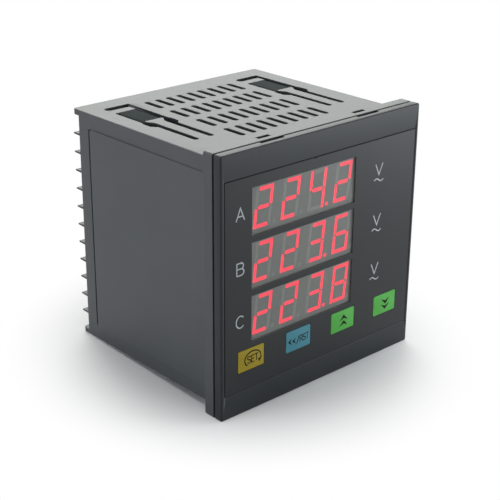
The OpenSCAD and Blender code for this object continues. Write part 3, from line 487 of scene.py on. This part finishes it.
def ribbon(sheet, stroke, width):
    """Lays a flat strip of ink of even width along a stroke."""
    sharpest_mitre = 0.4
    rails = []
    for i, point in enumerate(stroke):
        here = Vector(point)
        before = (here - Vector(stroke[i - 1])).normalized() if i > 0 else None
        after = (Vector(stroke[i + 1]) - here).normalized() if i + 1 < len(stroke) else None
        before = before or after
        after = after or before
        side = Vector((-(before + after).y, (before + after).x)).normalized()
        stretch = 1 / max(sharpest_mitre, side.dot(Vector((-before.y, before.x))))
        offset = side * (width / 2 * stretch)
        rails.append([sheet.verts.new((p.x, 0, p.y)) for p in (here + offset, here - offset)])
    for (a, b), (c, d) in zip(rails, rails[1:]):
        sheet.faces.new((a, b, d, c))


def printed(name, body, host, finish, strokes=(), shapes=(), width=0.0004):
    """A thin layer of ink on the front of a host node: strips along strokes, and filled shapes."""
    skin = BVHTree.FromPolygons(
        [v.co for v in frame["nodes"][host].data.vertices],
        [f.vertices for f in frame["nodes"][host].data.polygons],
    )
    ink_height = 0.000012
    ink_root = 0.00004
    longest_edge = 0.0006
    well_in_front = -0.05
    sheet = bmesh.new()
    for stroke in strokes:
        ribbon(sheet, stroke, width)
    for shape in shapes:
        sheet.faces.new([sheet.verts.new((x, 0, z)) for x, z in shape])
    bmesh.ops.triangulate(sheet, faces=sheet.faces)
    for _ in range(5):
        long = [edge for edge in sheet.edges if edge.calc_length() > longest_edge]
        if not long:
            break
        bmesh.ops.subdivide_edges(sheet, edges=long, cuts=1)
        bmesh.ops.triangulate(sheet, faces=sheet.faces)
    for vert in sheet.verts:
        hit = skin.ray_cast(Vector((vert.co.x, well_in_front, vert.co.z)), Vector((0, 1, 0)))[0]
        vert.co.y = hit.y - ink_height
    grown = bmesh.ops.extrude_face_region(sheet, geom=list(sheet.faces))
    for part in grown["geom"]:
        if isinstance(part, bmesh.types.BMVert):
            part.co.y += ink_height + ink_root
    bmesh.ops.recalc_face_normals(sheet, faces=sheet.faces)
    mesh = bpy.data.meshes.new(name)
    sheet.to_mesh(mesh)
    sheet.free()
    mesh.materials.append(finish)
    piece = link_piece(name, mesh)
    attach(piece, body)


trays = ("display_a", "display_b", "display_c")
row_heights = [(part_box(tray)[0].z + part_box(tray)[1].z) / 2 for tray in trays]
phase_x = -0.0395
phase_drop = 0.0017
phase_high = 0.0044
phase_pen = 0.00047
unit_x = 0.02735
unit_drop = 0.0008
unit_high = 0.0041
unit_pen = 0.00044
wave_drop = 0.0028
wave_size = 0.0024
pale_ink = moulded("pale_ink", colour(176, 181, 183), 0.5, grain=0.0002, depth=0.000002, mottle=0.03)
for phase, row in zip("ABC", row_heights):
    phase_strokes = lettering(phase, phase_x, row - phase_drop, phase_high)
    unit_strokes = lettering("V", unit_x, row - unit_drop, unit_high)
    wave_strokes = lettering("~", unit_x, row - wave_drop, wave_size)
    row_name = phase.lower()
    printed("phase_letter_" + row_name, "meter", "overlay", pale_ink, phase_strokes, width=phase_pen)
    printed("unit_mark_" + row_name, "meter", "overlay", pale_ink, unit_strokes, width=unit_pen)
    printed("wave_mark_" + row_name, "meter", "overlay", pale_ink, wave_strokes, width=unit_pen)


# ---- Display lens ----
# A clear acrylic plate that lies in the bezel's recess under the film's windows, and keeps
# dust off the displays. It is polished, with the faint haze that such plates have.

lens_acrylic, tree, shader = new_finish("lens_acrylic")
tree.nodes.remove(shader)
clear = tree.nodes.new("ShaderNodeBsdfTransparent")
clear.inputs["Color"].default_value = (0.96, 0.97, 0.97, 1)
mirror = tree.nodes.new("ShaderNodeBsdfGlossy")
bounce = tree.nodes.new("ShaderNodeFresnel")
bounce.inputs["IOR"].default_value = 1.45
surface = tree.nodes.new("ShaderNodeNewGeometry")
tree.links.new(surface.outputs["True Normal"], mirror.inputs["Normal"])
tree.links.new(surface.outputs["True Normal"], bounce.inputs["Normal"])
spread(tree, speckle(tree, 0.004), 0.08, 0.16, mirror.inputs["Roughness"])
front_only = outside(tree, surface.outputs["Backfacing"])
sheen = math_node(tree, "MULTIPLY", bounce.outputs["Fac"], front_only)
mixed_surface(tree, "Material Output", sheen, clear.outputs["BSDF"], mirror.outputs["BSDF"])
dress("display_lens", lens_acrylic)


# ---- Displays ----
# Three four-digit light-emitting displays, potted in trays with a grey printed face. Each
# segment is a clear resin bar in a well of its own: lit ones glow red, dark ones look milky.

face_grey = colour(108, 109, 103)
milky = colour(126, 126, 120)
display_grey = moulded("display_grey", face_grey, 0.5, grain=0.0002, depth=0.000003, mottle=0.03)
led_dark = moulded("led_dark", milky, 0.45, grain=0.0002, depth=0.000003, mottle=0.02)
led_lit, tree, shader = new_finish("led_lit")
shader.inputs["Base Color"].default_value = colour(200, 30, 45)
shader.inputs["Roughness"].default_value = 0.4
hot = tree.nodes.new("ShaderNodeValToRGB")
hot.color_ramp.elements[0].position = 0.3
hot.color_ramp.elements[0].color = colour(238, 36, 62)
hot.color_ramp.elements[1].position = 0.7
hot.color_ramp.elements[1].color = colour(246, 54, 80)
tree.links.new(speckle(tree, 0.0015), hot.inputs["Fac"])
tree.links.new(hot.outputs["Color"], shader.inputs["Emission Color"])
shader.inputs["Emission Strength"].default_value = 0.86

digit_high = 0.0144
digit_wide = 0.0080
digit_step = 0.01262
digit_rise = 0.0005
digit_slant = math.tan(math.radians(6.5))
bar = 0.0015
well_deep = 0.0004
readings = ("2242", "2236", "2238")
point_after = 2
bars_of = {"2": "abged", "3": "abgcd", "4": "fgbc", "6": "afgedc", "8": "abcdefg"}


def digit_bars(gap):
    """Outlines of a digit's seven bars and its point about its middle, with a gap round each."""
    right = digit_wide / 2 - gap
    high = digit_high / 2 - gap
    snip = 0.00025
    mitre_up = 0.0010
    mitre_in = 0.0006
    foot = 0.00012 + gap
    inside = digit_wide / 2 - bar + gap
    post = [(inside, mitre_up), (inside + mitre_in, foot), (right, foot),
            (right, high - snip), (right - snip, high), (inside, high)]
    beam = digit_wide / 2 - bar - gap
    eaves = high - bar + gap * 2
    roof = [(-beam, eaves + snip), (snip - beam, eaves), (beam - snip, eaves),
            (beam, eaves + snip), (beam, high), (-beam, high)]
    nib = 0.0003
    half_bar = bar / 2 - gap
    waist = [(-beam - nib + gap, 0), (-beam + nib, half_bar), (beam - nib, half_bar),
             (beam + nib - gap, 0), (beam - nib, -half_bar), (-beam + nib, -half_bar)]
    point_aside = 0.0055
    point_up = 0.00085 - digit_high / 2
    point_radius = 0.0008 - gap
    outlines = {
        "a": roof, "d": [(x, -z) for x, z in roof], "g": waist,
        "b": post, "c": [(x, -z) for x, z in post],
        "f": [(-x, z) for x, z in post], "e": [(-x, -z) for x, z in post],
        ".": arc(point_aside, point_up, point_radius, point_radius, 0, 342, 19),
    }
    return {
        name: [(x + z * digit_slant, z) for x, z in outline] for name, outline in outlines.items()
    }


def bar_prisms(name, outlines, front, rear):
    """One mesh of straight bars, each running from front to rear through its outline."""
    block = bmesh.new()
    for outline in outlines:
        near = [block.verts.new((x, front, z)) for x, z in outline]
        far = [block.verts.new((x, rear, z)) for x, z in outline]
        block.faces.new(near)
        block.faces.new(far[::-1])
        for i, (a, b) in enumerate(zip(near, far)):
            block.faces.new((a, near[i - 1], far[i - 1], b))
    bmesh.ops.recalc_face_normals(block, faces=block.faces)
    mesh = bpy.data.meshes.new(name)
    block.to_mesh(mesh)
    block.free()
    return mesh


def moved(outline, x, z):
    """An outline about another middle."""
    return [(x + px, z + pz) for px, pz in outline]


well_outlines = digit_bars(gap=0.00005)
bar_outlines = digit_bars(gap=0.00007)
tray_overhang = 0.00014
cutter_lead = 0.0003
lit_bars = []
dark_bars = []
for tray, reading in zip(trays, readings):
    low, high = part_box(tray)
    middle = (low + high) / 2
    wells = []
    for place, figure in enumerate(reading):
        x = middle.x + (place - 1.5) * digit_step
        z = middle.z + digit_rise
        wells += [moved(outline, x, z) for outline in well_outlines.values()]
        for name, outline in bar_outlines.items():
            glows = name in bars_of[figure] or (name == "." and place == point_after)
            (lit_bars if glows else dark_bars).append(moved(outline, x, z))
    left = low.x - tray_overhang
    right = high.x + tray_overhang
    rim_line = [(left, low.z), (right, low.z), (right, high.z), (left, high.z)]
    potted = link_piece(tray + "_block", bar_prisms(tray + "_block", [rim_line], low.y, high.y))
    well_prisms = bar_prisms("well_cutter", wells, low.y - cutter_lead, low.y + well_deep)
    cutter = link_piece("well_cutter", well_prisms)
    cut = potted.modifiers.new("wells", "BOOLEAN")
    cut.operation = "DIFFERENCE"
    cut.solver = "EXACT"
    cut.object = cutter
    drilled = potted.evaluated_get(bpy.context.evaluated_depsgraph_get())
    shape = bpy.data.meshes.new_from_object(drilled)
    bpy.data.objects.remove(potted)
    bpy.data.objects.remove(cutter)
    shape.materials.append(display_grey)
    piece = link_piece(tray + "_tray", shape)
    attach(piece, "meter")
    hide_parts(tray)

resin_gap = 0.00001
segments = (("lit_segments", lit_bars, led_lit), ("dark_segments", dark_bars, led_dark))
for node, outlines, resin in segments:
    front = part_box(node)[0].y
    mesh = bar_prisms(node + "_resin", outlines, front, front + well_deep - resin_gap)
    mesh.materials.append(resin)
    piece = link_piece(node + "_resin", mesh)
    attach(piece, "meter")
    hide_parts(node)


# ---- Keys ----
# Four silicone keys, each moulded in its own colour with an oval dome, and pressed from the
# front. Their marks are printed in dark ink: a ring arrow round SET, arrows and RST, chevrons.

key_tints = {
    "set_key": colour(158, 138, 10),
    "shift_key": colour(64, 132, 148),
    "up_key": colour(78, 172, 66),
    "down_key": colour(78, 172, 66),
}
for key, tint in key_tints.items():
    rubber = moulded(key + "_rubber", tint, 0.45, grain=0.0003, depth=0.000004, mottle=0.04)
    low_gloss(rubber, 0.3)
    rolled(key, key, radius=0.00012, finish=rubber)

key_middle = {key: (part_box(key)[0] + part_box(key)[1]) / 2 for key in key_tints}
dark_ink = moulded("dark_ink", colour(20, 22, 16), 0.6, grain=0.0002, depth=0.000002, mottle=0.03)
low_gloss(dark_ink, 0.1)

# The ring runs from the lower left over the top to the right, where its arrowhead points down
ring_half_wide = 0.0038
ring_half_high = 0.0028
set_high = 0.0026
set_advance = 0.00175
x, _, z = key_middle["set_key"]
ring = arc(x + 0.0006, z, ring_half_wide, ring_half_high, 229, -14, 30)
ring_tip = [(x + 0.0052, z - 0.0006), (x + 0.0030, z - 0.0010), (x + 0.0036, z - 0.0024)]
set_strokes = lettering("SET", x + 0.0005, z - set_high / 2, set_high, set_advance)
printed("set_ring", "set_key", "set_key", dark_ink, [ring], [ring_tip], width=0.00048)
printed("set_word", "set_key", "set_key", dark_ink, set_strokes, width=0.0004)


def arrowhead(x, z, along, across):
    """A swallow-tailed arrowhead from its tip at x, z; along and across are plane vectors."""
    notch = 0.6
    tip = Vector((x, z))
    along = Vector(along)
    across = Vector(across)
    return [tip, tip - along + across, tip - along * notch, tip - along - across]


arrow_long = 0.0018
arrow_half = 0.0013
reset_high = 0.0025
reset_advance = 0.0016
x, _, z = key_middle["shift_key"]
arrows = [arrowhead(x + at, z, (-arrow_long, 0), (0, arrow_half)) for at in (-0.0052, -0.0033)]
reset_strokes = lettering("/", x - 0.0006, z - 0.0013, reset_high)
reset_strokes += lettering("RST", x + 0.0027, z - 0.0012, reset_high, reset_advance)
printed("shift_arrows", "shift_key", "shift_key", dark_ink, shapes=arrows)
printed("shift_word", "shift_key", "shift_key", dark_ink, reset_strokes, width=0.00036)

chevron_long = 0.0024
chevron_half = 0.0023
for key, up in (("up_key", 1), ("down_key", -1)):
    x, _, z = key_middle[key]
    tips = [z + up * at for at in (0.0024, 0.0002)]
    stack = [arrowhead(x + 0.0002, tip, (0, up * chevron_long), (chevron_half, 0)) for tip in tips]
    printed(key.replace("key", "chevrons"), key, key, dark_ink, shapes=stack)


# ---- Push switches ----
# Four six millimetre push switches on the display board: a black nylon body with a steel
# cover pressed over it, and a round black plunger that the key's stem pushes.

tin = colour(196, 197, 194)
nylon_black = colour(34, 34, 36)

plunger_black = moulded("plunger_black", nylon_black, 0.42, grain=0.0002, depth=0.000004)
for plunger in ("set_button", "shift_button", "up_button", "down_button"):
    dress(plunger, plunger_black)

cover_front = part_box("tact_switches")[0].y
switch_shell = moulded("switch_shell", nylon_black, 0.5, grain=0.0002, depth=0.000004)
cover = between(switch_shell.node_tree, y_axis, cover_front - 0.001, cover_front + 0.0003)
inlay(switch_shell, cover, tin, 0.3, 1.0)
dress("tact_switches", switch_shell)


# ---- Circuit boards ----
# Glass-epoxy laminate 1.6 mm thick with green solder mask over etched copper tracks, tinned
# pads where parts are soldered, and a bare sawn edge. The side boards plug on at right angles.

def circuit_board(name, thin_axis):
    """Solder mask over tracks and pads on both faces, and laminate on the edges."""
    track_pitch = 0.0045
    track_share = 0.14
    pad_pitch = 0.0036
    pad_share = 0.2
    finish = moulded(name, colour(18, 78, 40), 0.28, grain=0.0006, depth=0.000004)
    tree = finish.node_tree
    flat = place_node(tree, "MULTIPLY", [axis != thin_axis for axis in range(3)])

    def cells(pitch, distance, feature="F1"):
        """Distances to the nearest or the next nearest of scattered points on the board."""
        grid = tree.nodes.new("ShaderNodeTexVoronoi")
        grid.distance = distance
        grid.feature = feature
        grid.inputs["Scale"].default_value = 1 / pitch
        tree.links.new(flat.outputs["Vector"], grid.inputs["Vector"])
        return grid.outputs["Distance"]

    near = cells(track_pitch, "MANHATTAN")
    next_near = cells(track_pitch, "MANHATTAN", "F2")
    track = math_node(tree, "LESS_THAN", math_node(tree, "SUBTRACT", next_near, near), track_share)
    inlay(finish, track, colour(34, 112, 58), 0.26)
    pad = math_node(tree, "LESS_THAN", cells(pad_pitch, "EUCLIDEAN"), pad_share)
    inlay(finish, pad, tin, 0.3, 1.0)
    facing = tree.nodes.new("ShaderNodeTexCoord").outputs["Normal"]
    turned = math_node(tree, "ABSOLUTE", along_axis(tree, facing, thin_axis))
    inlay(finish, math_node(tree, "LESS_THAN", turned, 0.5), colour(176, 164, 104), 0.7)
    return finish


dress("display_board", circuit_board("display_board_mask", y_axis))
side_mask = circuit_board("side_board_mask", x_axis)
dress("left_board", side_mask)
dress("right_board", side_mask)


# ---- Fasteners and contacts ----
# Nickel-plated steel screws with crossed recesses, pressed square washers under them, and
# brass contact plates stamped from strip, each with a leg that is soldered to its side board.

def brushed(name, tint, roughness, grain=(1, 1, 12)):
    """Bare or plated metal whose rolling marks run across the stretched axis of the grain."""
    finish = moulded(name, tint, roughness, grain=0.0002, depth=0.000002, mottle=0.05, metal=1.0)
    tree = finish.node_tree
    marks = tree.nodes.new("ShaderNodeTexNoise")
    marks.inputs["Scale"].default_value = 900
    marks.inputs["Detail"].default_value = 2
    tree.links.new(place_node(tree, "MULTIPLY", grain).outputs["Vector"], marks.inputs["Vector"])
    emboss(tree, tree.nodes["Principled BSDF"], marks.outputs["Fac"], 0.000004, 0.5)
    return finish


nickel_steel = brushed("nickel_steel", colour(172, 171, 166), 0.30)
for screws in ("board_screws", "terminal_screws"):
    dress(screws, nickel_steel)
dress("clamp_washers", brushed("washer_steel", colour(146, 146, 142), 0.38, (1, 1, 1)))
dress("terminal_contacts", brushed("contact_brass", colour(212, 176, 104), 0.3))
dress("header_pins", brushed("pin_gold", colour(224, 190, 110), 0.25, (1, 12, 1)))
dress("crystal", brushed("crystal_can", colour(200, 200, 197), 0.24, (12, 1, 1)))
dress("board_headers", moulded("header_black", nylon_black, 0.5, grain=0.0002, depth=0.000004))


# ---- Terminal blocks ----
# Two black thermoset mouldings in the sides of the case. Thin fins keep the wires of
# neighbouring terminals apart, and each deck between them carries one contact and its screw.

block_black = moulded("block_black", colour(46, 49, 51), 0.46, grain=0.0003, depth=0.00001)
for block in ("left_terminal_block", "right_terminal_block"):
    rolled(block, "meter", radius=0.0001, finish=block_black)


# ---- Chips ----
# Black epoxy packages, transfer moulded with a matt face. Their tinned legs stand out from two
# sides of the body, and from the two ends of the bridge rectifier.

def legged(node, axis, body_width, folded=False):
    """Epoxy over the body, and tin on whatever stands out beyond it along an axis."""
    leg_foot = 0.0011
    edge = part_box(node)[1][axis] - leg_foot
    finish = moulded(node + "_epoxy", colour(30, 30, 33), 0.55, grain=0.00025, depth=0.000006)
    tree = finish.node_tree
    body = between(tree, axis, edge - body_width, edge, folded)
    inlay(finish, outside(tree, body), tin, 0.28, 1.0)
    dress(node, finish)


legged("processor", z_axis, body_width=0.012)
legged("driver_chips", x_axis, body_width=0.0075, folded=True)
legged("metering_chip", y_axis, body_width=0.0075)
legged("rectifier", y_axis, body_width=0.0064)


# ---- Regulator ----
# A three-legged power regulator that stands on the right board: epoxy body, tinned legs, and
# a drilled copper tab that carries the heat away.

tab_length = 0.006
body_length = 0.009
body_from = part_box("regulator")[0].x + tab_length
regulator_epoxy = moulded("regulator_epoxy", colour(32, 32, 35), 0.5, grain=0.00025, depth=0.000006)
tree = regulator_epoxy.node_tree
body = between(tree, x_axis, body_from, body_from + body_length)
inlay(regulator_epoxy, outside(tree, body), tin, 0.3, 1.0)
dress("regulator", regulator_epoxy)


# ---- Sensing parts ----
# Three small potted voltage transformers on the left board, each with two lacquered
# resistors in series with its phase. The pots are filled with clear epoxy that sets glossy.

pot_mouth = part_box("voltage_transformers")[1].x
potting = moulded("potting_black", colour(32, 34, 48), 0.5, grain=0.0003, depth=0.000008)
fill = between(potting.node_tree, x_axis, pot_mouth - 0.0001, pot_mouth + 0.001)
inlay(potting, fill, colour(20, 20, 24), 0.12)
dress("voltage_transformers", potting)

resistor_low, resistor_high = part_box("input_resistors")
resistor_middle = (resistor_low.y + resistor_high.y) / 2
resistor_half = 0.0032
band_width = 0.0005
brown = colour(110, 62, 34)
red = colour(150, 40, 30)
black = colour(20, 20, 22)
lacquer = moulded("resistor_blue", colour(96, 146, 184), 0.22, grain=0.0006, depth=0.000003)
tree = lacquer.node_tree
for at, tint in ((-0.0021, red), (-0.0011, black), (-0.0001, black), (0.0019, brown)):
    band_from = resistor_middle + at
    inlay(lacquer, between(tree, y_axis, band_from, band_from + band_width), tint, 0.25)
body = between(tree, y_axis, resistor_middle - resistor_half, resistor_middle + resistor_half)
inlay(lacquer, outside(tree, body), tin, 0.28, 1.0)
dress("input_resistors", lacquer)


# ---- Mains transformer ----
# A stack of varnished silicon steel laminations, an ivory nylon bobbin round the middle leg,
# and enamelled copper wire wound on it in layers between the bobbin's two flanges.

def striped(finish, axis, pitch, share, tint, roughness, depth):
    """Lines across an axis, such as the joints of a stack or the turns of a winding."""
    tree = finish.node_tree
    along = along_axis(tree, tree.nodes.new("ShaderNodeTexCoord").outputs["Object"], axis)
    step = math_node(tree, "FRACT", math_node(tree, "DIVIDE", along, pitch))
    inlay(finish, math_node(tree, "LESS_THAN", step, share), tint, roughness)
    hump = math_node(tree, "SINE", math_node(tree, "MULTIPLY", step, math.pi))
    emboss(tree, tree.nodes["Principled BSDF"], hump, depth, 0.8)


lamination = 0.0005
wire = 0.00025
core_steel = moulded("core_steel", colour(98, 100, 104), 0.4, grain=0.0005, metal=0.6)
striped(core_steel, y_axis, lamination, 0.16, colour(40, 40, 42), 0.6, depth=0.00003)
dress("transformer_core", core_steel)
bobbin_ivory = moulded("bobbin_ivory", colour(216, 210, 192), 0.45, grain=0.0003, depth=0.000006)
dress("transformer_bobbin", bobbin_ivory)
enamel = moulded("winding_copper", colour(168, 92, 44), 0.3, grain=0.0004, depth=0.000002, metal=0.7)
striped(enamel, x_axis, wire, 0.2, colour(84, 42, 20), 0.45, depth=0.00005)
dress("transformer_winding", enamel)


# ---- Capacitors ----
# Two aluminium cans in dark blue shrink sleeves, with a pale stripe down the negative side
# and the bare end of the can, scored as a vent, inside the shrunk rim.

sleeve_rim = 0.0009
score_half = 0.00012
for can in ("main_capacitor", "output_capacitor"):
    low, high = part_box(can)
    middle = (low + high) / 2
    radius = (high.y - low.y) / 2
    sleeve = moulded(can + "_sleeve", colour(34, 42, 78), 0.3, grain=0.0008, depth=0.000004)
    tree = sleeve.node_tree
    stripe = between(tree, y_axis, middle.y + radius * 0.8, high.y + 0.001)
    inlay(sleeve, stripe, colour(170, 176, 190), 0.35)
    from_end = place_node(tree, "DISTANCE", (low.x, middle.y, middle.z)).outputs["Value"]
    can_end = math_node(tree, "LESS_THAN", from_end, radius - sleeve_rim)
    inlay(sleeve, can_end, colour(204, 205, 206), 0.3, 1.0)
    upright = between(tree, y_axis, middle.y - score_half, middle.y + score_half)
    crossing = between(tree, z_axis, middle.z - score_half, middle.z + score_half)
    score = both(tree, can_end, math_node(tree, "MAXIMUM", upright, crossing))
    inlay(sleeve, score, colour(120, 121, 122), 0.5, 1.0)
    dress(can, sleeve)


# ---- Relays ----
# Two sealed alarm relays with blue polyester covers, stood on the right board behind the
# terminals that they switch.

dress("relays", moulded("relay_blue", colour(44, 84, 156), 0.38, grain=0.0003, depth=0.000008))
